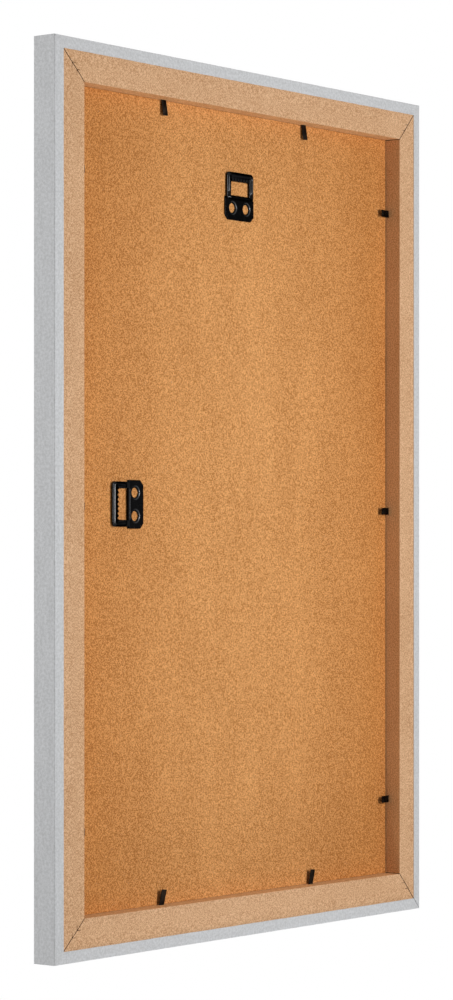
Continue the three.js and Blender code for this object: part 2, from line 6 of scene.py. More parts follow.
import bpy
import numpy as np
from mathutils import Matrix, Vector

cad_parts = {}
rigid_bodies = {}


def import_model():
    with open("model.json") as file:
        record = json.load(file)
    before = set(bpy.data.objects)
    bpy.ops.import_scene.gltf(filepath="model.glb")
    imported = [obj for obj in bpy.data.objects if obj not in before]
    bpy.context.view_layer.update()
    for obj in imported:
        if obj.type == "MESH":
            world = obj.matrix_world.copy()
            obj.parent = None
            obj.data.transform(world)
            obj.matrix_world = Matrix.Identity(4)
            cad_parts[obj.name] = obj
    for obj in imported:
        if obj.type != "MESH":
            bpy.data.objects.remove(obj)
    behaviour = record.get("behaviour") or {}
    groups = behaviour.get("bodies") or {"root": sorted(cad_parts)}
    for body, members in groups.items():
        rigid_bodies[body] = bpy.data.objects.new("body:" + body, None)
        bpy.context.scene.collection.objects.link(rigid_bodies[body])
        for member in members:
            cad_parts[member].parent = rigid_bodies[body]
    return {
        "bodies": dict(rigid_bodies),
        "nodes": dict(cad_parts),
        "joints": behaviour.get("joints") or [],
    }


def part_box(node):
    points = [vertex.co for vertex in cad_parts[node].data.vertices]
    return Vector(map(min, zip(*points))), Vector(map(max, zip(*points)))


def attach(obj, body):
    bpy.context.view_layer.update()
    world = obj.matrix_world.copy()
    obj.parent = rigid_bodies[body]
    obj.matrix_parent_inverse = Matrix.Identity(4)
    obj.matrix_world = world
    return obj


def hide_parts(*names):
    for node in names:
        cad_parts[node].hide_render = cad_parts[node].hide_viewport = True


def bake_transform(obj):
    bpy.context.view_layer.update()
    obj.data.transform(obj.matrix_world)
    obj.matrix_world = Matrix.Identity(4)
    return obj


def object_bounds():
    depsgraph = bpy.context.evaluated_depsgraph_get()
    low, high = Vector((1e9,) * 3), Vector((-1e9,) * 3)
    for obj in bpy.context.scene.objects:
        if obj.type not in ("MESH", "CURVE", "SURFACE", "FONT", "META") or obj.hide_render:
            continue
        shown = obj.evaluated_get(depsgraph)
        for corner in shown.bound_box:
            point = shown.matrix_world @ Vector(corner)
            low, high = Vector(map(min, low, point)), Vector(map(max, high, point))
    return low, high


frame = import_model()
CAD_BOX = [list(corner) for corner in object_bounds()]

bl_info = {
    "name": "Picture frame",
    "version": (1, 0, 0),
    "blender": (4, 5, 0),
    "location": "View3D > Sidebar > Picture Frame",
    "description": "Builds the fine pieces, finishes and studio of a picture frame",
    "category": "Object",
}

BACK = np.array([0.0, 1.0, 0.0])  # out of the frame's back
JOINTS = {joint["child"]: joint for joint in frame["joints"]}
TABS = [body for body in frame["bodies"] if body.endswith("_tab")]
V_NAILS = [name for name in frame["nodes"] if name.endswith("_v_nail")]
HANGERS = ("top_hanger", "side_hanger")
SIDES = {  # direction along each rail, and from its outer edge to the picture
    "top": ((1, 0, 0), (0, 0, -1)),
    "left": ((0, 0, -1), (-1, 0, 0)),
    "bottom": ((-1, 0, 0), (0, 0, 1)),
    "right": ((0, 0, 1), (1, 0, 0)),
}
OPEN_ENDS = {"bottom": 1, "right": -1}  # the ends of the two foils at the mitre that has opened a little
TRIM_WAVES = (61, 173, 397)  # waves of the foil's trimmed edge, in radians to the metre
TAB_BLEND = (-0.0004, 0.0016)  # two places out from a tab's bend line; the tab step works out where they lie and doesn't use them
RAYS = 96  # even rays from a hole's middle over its half of the strap
UPPER_EDGE = ((1.5, 0), (0.6, 0.2), (0.15, 0.7), (0, 1.3))  # inset and fall, in shares of the edge's lip
FOLD_SLIT = ((0, 0.7), (1, 0.4), (1, -0.4), (0, -0.7))  # inset and height, in shares of the slit's depth
LOWER_EDGE = ((0, 0.8), (0.25, 0.25), (0.8, 0))  # inset and rise, in shares of the edge's lip
WORN_RIM_AND_HIGHLIGHT = (0.1, 0.45)  # the part of a hole's rim with rubbed, lighter metal that is also a painted highlight, from the rim's outer edge inwards
NOTCHES = np.arange(-3, 4)  # the bar's notches, counted from its middle
TINY = 1e-9
CLOUD_SHARE = 0.15  # of the slow clouds in a pressed board's tone
STRAND_SCALE = 0.62  # of a pressed board's stray fibres against its speckle
PAINTED_SHEEN_REACH = (0.95, 1000, 1.9)  # reach of the painted pool of light and sheen, in half boards: it hardly changes upwards and not at all through the board
LAMPS = (  # name, the setting of its power, width and height, direction from the frame's middle, distance
    ("Key", "key", (0.18, 0.65), (-0.0625, 1.0, 0.085), 1.2),
    ("Above", "above", (1.2, 0.3), (0, 0.1, 1), 1.3),
    ("Below", "below", (1.2, 0.3), (0, 0.1, -1), 1.3),
    ("Left fill", "fill", (1.6, 1.6), (0.8, -0.58, 0.1), 2.2),
    ("Right fill", "fill", (1.6, 1.6), (-0.8, -0.58, 0.1), 2.2),
)


def linear(red, green, blue):
    """The shader's colour for a screen colour from 0 to 255: the inverse of the sRGB curve."""
    share = np.array([red, green, blue]) / 255
    return tuple(np.where(share < 0.04045, share / 12.92, ((share + 0.055) / 1.055) ** 2.4))


def setting(kind, change=lambda value: value, **fixed):
    """A maker of one kind of setting that a user may change. Its default goes through the change."""

    def make(name, description, *default):
        return kind(name=name, description=description, default=change(*default), **fixed)

    return make


number = setting(bpy.props.FloatProperty)
length = setting(bpy.props.FloatProperty, min=0, precision=5, unit="LENGTH")  # in metres
angle = setting(bpy.props.FloatProperty, math.radians, subtype="ANGLE")  # given in degrees
point = setting(bpy.props.FloatVectorProperty, subtype="TRANSLATION", unit="LENGTH")
colour = setting(bpy.props.FloatVectorProperty, linear, min=0, max=1, subtype="COLOR")  # as on a screen


class FoilSettings(bpy.types.PropertyGroup):
    """Sizes and colours of the printed foil on the rails."""

    thickness: length("Thickness", "Foil and its glue", 0.0003)
    radius: length("Edge radius", "Rounding of the rail's long edges", 0.0006)
    depth: length("Depth", "Front to back at the outer side", 0.02)
    slope: angle("Back slope", "Rise of the back towards the picture", 3.8507)
    back_strip: length("Back strip", "Foil on the back, from the outer edge", 0.009)
    face_width: length("Face width", "Outer edge to the sight edge", 0.036)
    lip: length("Lip", "Depth of foil on the sight edge", 0.0033)
    mitre_gap: length("Mitre gap", "Foil's end to the mitre", 0.00004)
    open_gap: length("Open mitre gap", "Foil's end to the mitre that has opened", 0.00035)
    wander: length("Trim wander", "How far the trimmed edge wanders", 0.00012)
    light: colour("Light", "Light grains of the print", 204, 205, 207)
    dark: colour("Dark", "Dark grains of the print", 182, 183, 184)


class BoardSettings(bpy.types.PropertyGroup):
    """Colours of the rails, the back, the sheet and the V-nails."""

    mdf_light: colour("MDF light", "Light fibres of the rails", 229, 188, 149)
    mdf_dark: colour("MDF dark", "Dark fibres of the rails", 180, 134, 93)
    core_light: colour("MDF core light", "Light fibres in the rebate's walls", 230, 183, 132)
    core_dark: colour("MDF core dark", "Dark fibres in the rebate's walls", 184, 132, 83)
    # painted shade: the mitre faces are darkened for the shade inside the mitre gaps
    sawn: colour("Sawn MDF", "Scorched saw cuts of the mitres", 54, 35, 22)
    hardboard_light: colour("Hardboard light", "Light fibres of the back", 219, 152, 86)
    hardboard_dark: colour("Hardboard dark", "Dark fibres of the back", 151, 89, 36)
    # painted light: lighter, whiter fibres in the back's middle stand for a pool of light and a sheen
    faded_light: colour("Faded light", "Light fibres of the faded middle", 235, 174, 111)
    faded_dark: colour("Faded dark", "Dark fibres of the faded middle", 165, 106, 50)
    strand_light: colour("Light strand", "Stray pale fibres", 238, 208, 168)
    strand_dark: colour("Dark strand", "Stray bark fibres", 128, 84, 48)
    paper: colour("Paper", "Blank insert sheet", 236, 235, 231)
    paper_shade: colour("Paper shade", "Shaded fibres of the insert sheet", 228, 227, 222)
    nail: colour("V-nail", "Steel", 66, 48, 34)
    nail_dull: colour("V-nail dull", "Dulled steel", 44, 31, 22)


class TabSettings(bpy.types.PropertyGroup):
    """Sizes and colour of the bendable tabs."""

    width: length("Width", "Strip width", 0.0056)
    thickness: length("Thickness", "Strip thickness", 0.0005)
    shank: length("Shank", "Depth driven into the rail, from the bend line", 0.0066)
    reach: length("Reach", "Bend line to the tip", 0.011)
    tilt: angle("Tilt", "Rise of the strip from the wall to its tip", 8)
    bend: length("Bend softness", "Length over which the strip turns", 0.0009)
    edge: length("Edge radius", "Rounding of the strip's edges", 0.00012)
    corner: length("Corner radius", "Rounding of the tip's corners", 0.0006)
    enamel: colour("Enamel", "Black finish", 30, 26, 23)
    worn: colour("Worn", "Rubbed finish", 62, 54, 46)


class HangerSettings(bpy.types.PropertyGroup):
    """Sizes and colour of the two hangers."""

    axis_height: length("Axis height", "Board to the hinge axis", 0.00165)
    sheet: length("Sheet", "Thickness of the folded sheet", 0.0006)
    seat: length("Seat", "Board to the strap's underside", 0.0001)
    strap_width: length("Strap width", "Strap along the hinge", 0.036)
    strap_reach: length("Strap reach", "Hinge axis to the strap's far edge", 0.0174)
    shoulder: length("Shoulder", "Hinge axis to the upper layer", 0.00095)
    ear: length("Ear", "Lower layer past the hinge axis", 0.0004)
    strap_top: length("Strap top", "Board to the strap's upper face", 0.0014)
    chamfer: length("Chamfer", "Cut corners of the strap", 0.00375)
    hole_half: length("Hole", "Half width of a hole at the board", 0.0037)
    hole_power: number("Hole shape", "1 is a square on its corner and 2 a circle", 1.85)
    rim_half: length("Rim", "Half width of a hole's sunk rim", 0.0054)
    rim_depth: length("Rim depth", "How deep the rim is sunk", 0.001)
    cut_half: length("Cut", "Half length of the crossed cuts", 0.005)
    hole_pitch: length("Hole pitch", "Between the two holes", 0.0173)
    hole_setback: length("Hole setback", "Hinge axis to the holes", 0.0081)
    claw_away: length("Claw distance", "Hole's middle to the claws", 0.0042)
    claw_width: length("Claw width", "Claw at its root", 0.0046)
    claw_tip: length("Claw tip", "Claw at its point", 0.0008)
    claw_depth: length("Claw depth", "Board's face to the claw's point", 0.0017)
    knuckle_half: length("Knuckle", "Half the fold round the pin", 0.0113)
    knuckle_radius: length("Knuckle radius", "Outside of the fold round the pin", 0.00155)
    fillet: length("Fold fillet", "Hollow between the fold and the strap", 0.0008)
    loop_width: length("Loop width", "Loop along the hinge", 0.0333)
    loop_reach: length("Loop reach", "Hinge axis to the loop's far edge", 0.0194)
    leg: length("Leg", "Width of a loop leg", 0.005)
    bar: length("Bar", "Width of the loop's bar with its teeth", 0.0072)
    corner: length("Corner", "Outer corner radius of the loop", 0.003)
    loop_half: length("Loop half thickness", "Half the loop's thickness", 0.0006)
    edge: length("Edge", "Width of the loop's rounded edges", 0.0005)
    edge_drop: length("Edge drop", "Fall of the loop's rounded edges", 0.00025)
    rib: length("Rib", "Rise of the rib along the loop", 0.0009)
    leg_slope: angle("Leg slope", "Rib's flanks on the legs", 34)
    leg_round: length("Leg rounding", "Rib's ridge on the legs", 0.0004)
    bar_slope: angle("Bar slope", "Rib's flanks on the bar", 22)
    bar_round: length("Bar rounding", "Rib's ridge on the bar", 0.0002)
    rib_from: length("Rib start", "Hinge axis to the rib", 0.0038)
    rib_run: length("Rib run-out", "Length over which the rib rises", 0.0016)
    notch_pitch: length("Notch pitch", "Between two notches", 0.0034)
    notch_depth: length("Notch depth", "Depth of a notch", 0.0011)
    notch_mouth: length("Notch mouth", "Width at the teeth's tips", 0.0024)
    notch_root: length("Notch root", "Width at its bottom", 0.0009)
    pin_radius: length("Pin radius", "Radius of the loop's pin", 0.00075)
    pin_half: length("Pin", "Half length of the loop's pin", 0.01635)
    enamel: colour("Enamel", "Black finish", 27, 27, 28)
    worn: colour("Worn", "Rubbed finish", 30, 30, 30)
    loop_enamel: colour("Loop enamel", "Black finish of the loop", 36, 36, 37)
    loop_worn: colour("Loop worn", "Rubbed finish of the loop", 40, 40, 40)
    # painted highlight: lighter rubbed metal on the holes' rims, which also stands for the rims' highlight
    bare: colour("Bare", "Rubbed edge of a hole", 66, 66, 67)


class StageSettings(bpy.types.PropertyGroup):
    """Camera, floor and lamps."""

    camera: point("Camera", "Place of the camera", (1.96575, 1.48912, -0.28529))
    heading: angle("Heading", "Turn of the camera about the upright", 127.386)
    lens: number("Lens", "Focal length in millimetres on a 36 mm sensor", 115.066)
    shift: number("Shift", "Upward shift, as a share of the height", 0.05084)
    floor_drop: length("Floor drop", "Frame's lower edge to the floor", 1.4)
    floor_size: length("Floor size", "Side of the floor", 4.0)
    floor: colour("Floor", "Floor", 238, 238, 238)
    floor_glow: number("Floor glow", "How far the floor looks as pale as the surround", 0.6)
    ambient: number("Ambient", "Strength of the light from all round", 0.16)
    key: number("Key", "Lamp behind the back, in watts", 12.1)
    above: number("Above", "Lamp above, in watts", 3)
    below: number("Below", "Lamp below, in watts", 6.5)
    fill: number("Fill", "Lamp at each side, in watts", 30.5)


# Meshes


def stacked(*parts):
    """Points, or faces, whose coordinates, or corners, are arrays or single numbers."""
    return np.stack(np.broadcast_arrays(*parts), -1)


def quads(rows, columns, closed_rows=False, closed_columns=False):
    """Quads between the neighbours of a grid of points, whose point (i, j) has number i * columns + j."""
    i = np.arange(rows if closed_rows else rows - 1)[:, None]
    j = np.arange(columns if closed_columns else columns - 1)
    here, below, beside = i * columns, (i + 1) % rows * columns, (j + 1) % columns
    return stacked(here + j, below + j, below + beside, here + beside).reshape(-1, 4)


def outward(points, faces):
    """Faces turned outwards, so that the volumes from the origin under all of them add up to more than 0."""
    a, b, c, d = (points[faces[:, k]] for k in range(4))
    volume = np.sum(a * np.cross(b, c)) + np.sum(a * np.cross(c, d))
    return faces if volume > 0 else faces[:, ::-1]


def tube(points, curved=True):
    """A closed shell over a row of like rings, points[station, ring, 3].

    Quads join each ring to the next, and a strip of quads between the ring's two halves closes each end.
    curved says which sides of the ring are shaded as curved.
    """
    stations, ring = points.shape[:2]
    sides = quads(stations, ring, closed_columns=True)
    k = np.arange(ring // 2 - 1)
    strip = stacked(k, k + 1, ring - 2 - k, ring - 1 - k)
    faces = np.concatenate([sides, strip, strip[:, ::-1] + (stations - 1) * ring])
    flags = np.broadcast_to(curved, (stations - 1, ring)).reshape(-1)
    smooth = np.concatenate([flags, np.zeros(2 * len(strip), bool)])
    flat = points.reshape(-1, 3)
    return flat, outward(flat, faces), smooth


def rounded(half_width, half_height, radius):
    """Rings of rectangles with round corners: each corner's straight part and a quarter circle beyond it."""
    quarter = np.linspace(0, 90, 5)
    turn = np.radians(np.arange(0, 360, 90)[:, None] + quarter).ravel()
    corner = np.repeat([[1, 1], [-1, 1], [-1, -1], [1, -1]], len(quarter), axis=0)
    half = stacked(half_width, half_height)[..., None, :]
    return corner * (half - radius) + radius * stacked(np.cos(turn), np.sin(turn))


def on_hinge(body, points):
    """Points (across, out, up) about a body's hinge at rest, in the part's coordinates.

    Across runs along the hinge, out lies over the board away from it, and up points out of the back.
    """
    joint = JOINTS[body]
    axis = np.array(joint["axis"], float)
    basis = np.stack([axis, np.cross(BACK, axis), BACK])
    return np.array(joint["pos_m"], float) + points @ basis


def arc(centre, radius, start, stop, count=9):
    """Points on a circle about the centre, from one angle to the other in degrees."""
    turn = np.radians(np.linspace(start, stop, count))
    return np.array(centre) + radius * stacked(np.cos(turn), np.sin(turn))


def halves(box):
    """A box's middle and its half sizes."""
    low, high = np.array(box)
    return (low + high) / 2, (high - low) / 2


def side_lengths(ring):
    """Length of each side of a closed ring of points."""
    return np.linalg.norm(np.roll(ring, -1, 0) - ring, axis=1)


def put(name, data):
    """A new object in the scene."""
    made = bpy.data.objects.new(name, data)
    bpy.context.scene.collection.objects.link(made)
    return made


def piece(name, shells, finish, stands_for, wrap=None):
    """One mesh object at the origin made of closed shells, with its finish; the parts it stands for are
    hidden.

    wrap gives each point of the first shell its place on the sheet, which is kept as a UV map.
    """
    points, faces, smooth = zip(*shells)
    starts = np.cumsum([0, *map(len, points[:-1])])
    faces = np.concatenate([part + start for part, start in zip(faces, starts)])
    mesh = bpy.data.meshes.new(name)
    mesh.from_pydata(np.concatenate(points).tolist(), [], faces.tolist())
    mesh.polygons.foreach_set("use_smooth", np.concatenate(smooth))
    if wrap is not None:
        layer = mesh.uv_layers.new(name="wrap")
        layer.data.foreach_set("uv", wrap[faces].astype(np.float32).ravel())
    mesh.materials.append(finish)
    if mesh.validate():
        raise RuntimeError(f"{name} has faces that can't be used")
    made = put(name, mesh)
    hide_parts(*stands_for)
    return made


def coat(names, finish):
    """Gives carried-over nodes their finish."""
    for name in names:
        materials = frame["nodes"][name].data.materials
        materials.clear()
        materials.append(finish)


def foil_section(foil):
    """The foil's section as a ring of points (inward, height), which of its sides are curved, and its run.

    Straight runs and circles go from the trimmed edge on the sloping back round the outer side and the front
    to the sight edge, and the same line one thickness further in goes back. The run is each point's distance
    along the ring.
    """
    gradient = math.tan(foil.slope)
    stretch = math.hypot(1, gradient)
    near, far = foil.radius, foil.face_width - foil.radius
    top = foil.depth + foil.radius * (gradient - stretch)
    corners = (
        ((near, top), 90 + math.degrees(foil.slope), 180),
        ((near, near), 180, 270),
        ((far, near), 270, 360),
    )

    def line(offset):
        turns = [arc(centre, foil.radius - offset, *sweep) for centre, *sweep in corners]
        first = [[foil.back_strip, foil.depth + gradient * foil.back_strip - stretch * offset]]
        last = [[foil.face_width - offset, foil.lip]]
        return np.concatenate([first, *turns, last])

    outer, inner = line(0), line(foil.thickness)
    ring = np.concatenate([outer, inner[::-1]])
    step = side_lengths(ring)
    return ring, step < foil.radius / 2, np.concatenate([[0], np.cumsum(step)[:-1]])


def foil_wrap(foil, side):
    """One rail's foil, its section carried along the rail and cut at 45 degrees, and its places on the sheet.

    A point that lies inward by d has its end d nearer to the rail's middle. The trimmed edge on the back
    wanders by a sum of slow waves.
    """
    along, inward = np.array(SIDES[side], float)
    middle, half = halves(CAD_BOX)
    edge = middle - inward * np.abs(half @ inward)
    edge[1] = CAD_BOX[0][1]
    ring, curved, run = foil_section(foil)
    share = np.linspace(-1, 1, 121)[:, None]
    gap = np.where(share * OPEN_ENDS.get(side, 0) > 0, foil.open_gap, foil.mitre_gap)
    place = share * (np.abs(half @ along) - gap - ring[:, 0])
    phases = (1.1, 2.3, len(side))
    waves = sum(np.sin(place * pace + phase) for pace, phase in zip(TRIM_WAVES, phases))
    trimmed = np.isclose(ring[:, 0], foil.back_strip)
    inset = ring[:, 0] + np.where(trimmed, waves * foil.wander / len(TRIM_WAVES), 0)
    points = edge + stacked(place, inset, ring[:, 1]) @ np.stack([along, inward, BACK])
    return tube(points, curved), stacked(place, run).reshape(-1, 2)


def tab_strip(tab):
    """A tab about its bend line: a rounded flat section carried along a line that turns once.

    The line's height is the tilt's slope times (s + root(s s + b b)) / 2, which is 0 in the wall, turns over
    the bend length b and then climbs evenly. The tip's corners are round.
    """
    near = np.linspace(-2.5, 3.5, 25) * tab.bend
    tip = tab.reach - tab.corner + tab.corner * np.sin(np.linspace(0, math.pi / 2, 7))
    out = np.concatenate([[-tab.shank], near, [tab.reach / 2], tip])
    rise = math.tan(tab.tilt) * (out + np.hypot(out, tab.bend)) / 2
    rounding = np.clip(out - (tab.reach - tab.corner), 0, tab.corner)
    cut = tab.corner - np.sqrt(tab.corner**2 - rounding**2)
    section = rounded(tab.width / 2 - cut, tab.thickness / 2, tab.edge)
    return tube(stacked(section[..., 0], out[:, None], rise[:, None] + section[..., 1]))


def strap_plate(hanger):
    """The strap's folded plate with its two holes, in (across, out, up) with up from the board.

    Half of the plate is a fan of rays from its hole's middle. A ray meets the sunk rim, whose outline is
    |x|^p + |v|^p = a^p, and the nearest of the plate's straight sides, moved in by an inset. Rings of points
    on all the rays run up the hole, over the rim, which is part of a circle, and the top, down the side with
    the fold's slit and back underneath. On the rays of the four cuts the hole starts further out. The other
    half is the mirror image, joined to it along the middle.
    """
    top, base = hanger.strap_top, hanger.seat
    middle = (top + base) / 2
    hole = np.array([hanger.hole_pitch / 2, -hanger.hole_setback])
    side, far, front = hanger.strap_width / 2, -hanger.strap_reach, -hanger.shoulder
    cut = hanger.chamfer
    corners = np.array([[side, front], [side, far + cut], [side - cut, far], [0, far], [0, front]])
    normals = np.array([[1, 0], [-1, 0], [0, 1], [0, -1], [math.sqrt(0.5), -math.sqrt(0.5)]])
    touching = np.array([[side, 0], [0, 0], [0, front], [0, far], [side - cut, far]])
    reach = np.sum((touching - hole) * normals, 1)
    real = np.array([1, 0, 1, 1, 1])  # the second side is the middle line, where the halves meet
    spokes = np.arctan2(*(corners - hole).T[::-1]) % (2 * math.pi)
    even = np.linspace(0, 2 * math.pi, RAYS, endpoint=False)
    apart = np.abs((even[:, None] - spokes + math.pi) % (2 * math.pi) - math.pi).min(1)
    clear = even[apart > math.radians(2.4)]  # a ray that is nearer to a corner's own ray is left out
    turn = np.sort(np.concatenate([clear, spokes]))
    ray = stacked(np.cos(turn), np.sin(turn))
    facing = ray @ normals.T
    open_sides = np.where(facing > TINY, facing, np.nan)
    nearest = np.nanargmin(reach / open_sides, 1)
    at_end = np.isclose(turn[:, None], spokes[3:]).any(1)
    to_middle = (nearest == 1) | at_end

    roll, sunk = hanger.rim_half - hanger.hole_half, hanger.rim_depth
    bend = (roll**2 + sunk**2) / (2 * sunk)
    shape = np.sum(np.abs(ray) ** hanger.hole_power, 1) ** (-1 / hanger.hole_power)
    start = np.where(np.isclose(np.sin(2 * turn), 0), hanger.cut_half, hanger.hole_half)

    def rim(share, height=None):
        inwards = share * (hanger.rim_half - start)
        place = hole + ray * ((hanger.rim_half - inwards) * shape)[:, None]
        on_circle = top - bend + np.sqrt(bend**2 - inwards**2)
        return place, on_circle if height is None else height

    def edge(inset, height):
        away = np.nanmin((reach - real * inset) / open_sides, 1)
        away = np.where(to_middle, np.nanmin(reach / open_sides, 1), away)
        place = hole + ray * away[:, None]
        end = np.where(place[:, 1] > hole[1], front - inset, far + inset)
        place[:, 1] = np.where(at_end, end, place[:, 1])
        place[:, 0] = np.where(to_middle, 0, place[:, 0])
        return place, height

    shares = np.linspace(1, 0, 8)
    lip, slit = hanger.sheet / 3, hanger.sheet / 6
    rings = [
        rim(1, base),
        rim(1, top - 1.1 * sunk),
        *(rim(share) for share in shares),
        *(edge(inset * lip, top - fall * lip) for inset, fall in UPPER_EDGE),
        *(edge(inset * slit, middle + rise * slit) for inset, rise in FOLD_SLIT),
        *(edge(inset * lip, base + rise * lip) for inset, rise in LOWER_EDGE),
    ]
    curved = np.array([0, 0, *np.ones(len(shares) - 1), 0, 1, 1, 1, 0, 0, 0, 0, 0, 1, 1, 0], bool)
    flat = np.concatenate([place for place, _ in rings])
    heights = np.concatenate([np.broadcast_to(height, len(turn)) for _, height in rings])
    half = np.column_stack([flat, heights])
    faces = quads(len(rings), len(turn), closed_rows=True, closed_columns=True)
    smooth = np.repeat(curved, len(turn))
    inside = np.all(half[faces][..., 0] < TINY, 1)
    faces, smooth = faces[~inside], smooth[~inside]
    both = np.concatenate([half, half * [-1, 1, 1]])
    faces = np.concatenate([faces, faces[:, ::-1] + len(half)])
    smooth = np.tile(smooth, 2)
    _, first, number_of = np.unique(np.round(both, 9), axis=0, return_index=True, return_inverse=True)
    points = both[first]
    faces = number_of.reshape(-1)[faces]
    return points, outward(points, faces), smooth


def worn_rims_and_highlights(hanger, points):
    """1 on the points of the holes' upper edges, whose lighter rubbed finish is also a painted highlight, and
    0 on the others.

    They lie between two shares of the way from the rim's outline |x|^p + |v|^p = a^p to the hole's.
    """
    away = np.abs([np.abs(points[:, 0]) - hanger.hole_pitch / 2, points[:, 1] + hanger.hole_setback])
    ring = np.sum(away**hanger.hole_power, 0) ** (1 / hanger.hole_power)
    inwards = (hanger.rim_half - ring) / (hanger.rim_half - hanger.hole_half)
    above = points[:, 2] > hanger.strap_top - hanger.rim_depth / 2
    return ((inwards > WORN_RIM_AND_HIGHLIGHT[0]) & (inwards < WORN_RIM_AND_HIGHLIGHT[1]) & above).astype(float)


def strap_knuckle(hanger):
    """The fold round the pin: the strap's sheet carried along the hinge.

    Its outer line runs along the plate's top, up a hollow fillet, round the pin and back along the underside.
    Its inner line is one sheet thickness further in, along the outer line's normals.
    """
    hair = hanger.seat / 5  # the short tails lie just inside the plate
    height, radius, fillet = hanger.axis_height, hanger.knuckle_radius, hanger.fillet
    top, base = hanger.strap_top - hair, hanger.seat + hair
    rise = top + fillet - height
    start = -math.sqrt((radius + fillet) ** 2 - rise**2)
    tail = start - hanger.seat
    slope = math.degrees(math.atan2(rise, -start))
    hollow = arc((0, 0), 1, -90, -slope, 7)
    round_pin = arc((0, 0), 1, 180 - slope, -90, 25)
    outer = np.concatenate([
        [[tail, top]],
        np.array([start, top + fillet]) + fillet * hollow,
        np.array([0, height]) + radius * round_pin,
        [[tail, base]],
    ])
    inwards = np.concatenate([[[0, -1]], hollow, -round_pin, [[0, 1]]])
    inner = outer + hanger.sheet * inwards
    ring = np.concatenate([outer, inner[::-1]])
    across = np.array([-1, -0.985, 0.985, 1]) * hanger.knuckle_half
    return tube(stacked(across[:, None], *ring.T), side_lengths(ring) < fillet)


def strap_ears(hanger):
    """The lower layer beside the fold: two flat bars with round edges that run past the axis."""
    inner, outer = 0.995 * hanger.knuckle_half, hanger.strap_width / 2
    section = rounded((outer - inner) / 2, hanger.sheet / 2, hanger.sheet / 8)
    out = np.array([-2 * hanger.shoulder, hanger.ear])
    shells = []
    for side in (-1, 1):
        ring = section + [side * (inner + outer) / 2, hanger.seat * 1.1 + hanger.sheet / 2]
        shells.append(tube(stacked(ring[:, 0], out[:, None], ring[:, 1]), False))
    return shells


def strap_claws(hanger):
    """Eight claws, four to a hole: flat wedges that go down from the hole's sides into the board.

    A claw's outline narrows evenly from its root to its tip, and it is turned to its own side of the hole.
    """
    away = hanger.claw_away + hanger.sheet * np.array([0, 0, 1, 1])
    wide = np.array([[hanger.claw_width], [hanger.claw_tip]]) / 2 * [-1, 1, 1, -1]
    up = np.array([[hanger.strap_top - hanger.sheet], [-hanger.claw_depth]])
    shells = []
    for hole in (-hanger.hole_pitch / 2, hanger.hole_pitch / 2):
        for turn in np.radians([45, 135, 225, 315]):
            across = hole + away * math.cos(turn) - wide * math.sin(turn)
            out = away * math.sin(turn) + wide * math.cos(turn) - hanger.hole_setback
            shells.append(tube(stacked(across, out, up), False))
    return shells


def notch(place, hanger):
    """How deep the toothed edge is cut at a place along the bar: a row of notches with sloping sides."""
    nearest = np.clip(np.round(place / hanger.notch_pitch), NOTCHES[0], NOTCHES[-1]) * hanger.notch_pitch
    slope = (hanger.notch_mouth / 2 - np.abs(place - nearest)) * 2
    return hanger.notch_depth * np.clip(slope / (hanger.notch_mouth - hanger.notch_root), 0, 1)


def loop_band(hanger):
    """The loop about its hinge: a flat section with round edges, carried between an outer and an inner line.

    The outer line goes up one leg, round a corner, along the bar and down the other leg. The inner line goes
    beside it and follows the notches. A point of the section lies a given distance from one of the lines.
    The round edges fall as the square of the distance from the flat. The rib has two plane flanks with a
    rounded ridge, root(w w + r r), rounder on the legs than on the bar and changing evenly round the corners.
    It rises along each leg as 3 u u - 2 u u u over its run-out.
    """
    side, far = hanger.loop_width / 2, hanger.loop_reach
    wide, tips = side - hanger.leg, far - hanger.bar
    bend, nook = hanger.corner, hanger.corner / 6
    leg, corner = np.linspace(0, 1, 24, endpoint=False), np.linspace(0, 1, 9)
    mouth, root = hanger.notch_mouth / 2, hanger.notch_root / 2
    edges = (NOTCHES[:, None] * hanger.notch_pitch + [-mouth, -root, root, mouth]).ravel()
    bar = np.sort(np.concatenate([edges, (edges[1:] + edges[:-1]) / 2]))

    def line(x, y, radius, on_bar):
        turn = arc((radius - x, y - radius), radius, 180, 90, len(corner))
        half = np.concatenate([stacked(-x, leg * (y - radius)), turn])
        return np.concatenate([half, on_bar, half[::-1] * [-1, 1]])

    outer = line(side, far, bend, stacked(bar * (side - bend) / (wide - nook), far))
    inner = line(wide, tips, nook, stacked(bar, tips + notch(bar, hanger)))
    gap = np.linalg.norm(inner - outer, axis=1)[:, None]
    half, soft = hanger.loop_half, hanger.loop_half / 4
    edge = np.linspace(0, 1, 5)
    fallen = half - hanger.edge_drop * (1 - edge[:-1]) ** 2
    over = np.linspace(-1, 1, 18)
    reach = hanger.leg / 2 - hanger.edge
    from_outer = np.concatenate([[0], edge[:-1] * hanger.edge, hanger.leg / 2 + over * reach])
    from_inner = np.concatenate([edge[-2::-1] * hanger.edge, [0, soft]])
    flat, below = np.full(len(over), half), [soft - half, -half, -half]
    level = np.concatenate([below[:1], fallen, flat, fallen[::-1], below])

    def bulge(slope, rounding):
        ridge = hanger.rib + rounding - np.hypot(over * reach * math.tan(slope), rounding)
        rise = (ridge + np.hypot(ridge, rounding)) / 2 * (1 - over**8)
        return np.pad(rise, (len(edge), len(edge) + 2))

    turned = np.concatenate([0 * leg, corner])
    turned = np.concatenate([turned, np.ones(len(bar)), turned[::-1]])[:, None]
    on_leg = bulge(hanger.leg_slope, hanger.leg_round)
    on_bar = bulge(hanger.bar_slope, hanger.bar_round)
    run = np.clip((leg * (far - bend) - hanger.rib_from) / hanger.rib_run, 0, 1)
    rise = run * run * (3 - 2 * run)
    lift = np.concatenate([rise, np.ones(len(gap) - 2 * len(rise)), rise[::-1]])[:, None]
    section = np.concatenate([
        np.broadcast_to(from_outer, (len(gap), len(from_outer))),
        gap - from_inner,
        np.broadcast_to(soft, gap.shape),
    ], 1)
    plan = outer[:, None] + (inner - outer)[:, None] * (section / gap)[..., None]
    up = level + lift * (on_leg * (1 - turned) + on_bar * turned)
    return tube(np.concatenate([plan, up[..., None]], -1))


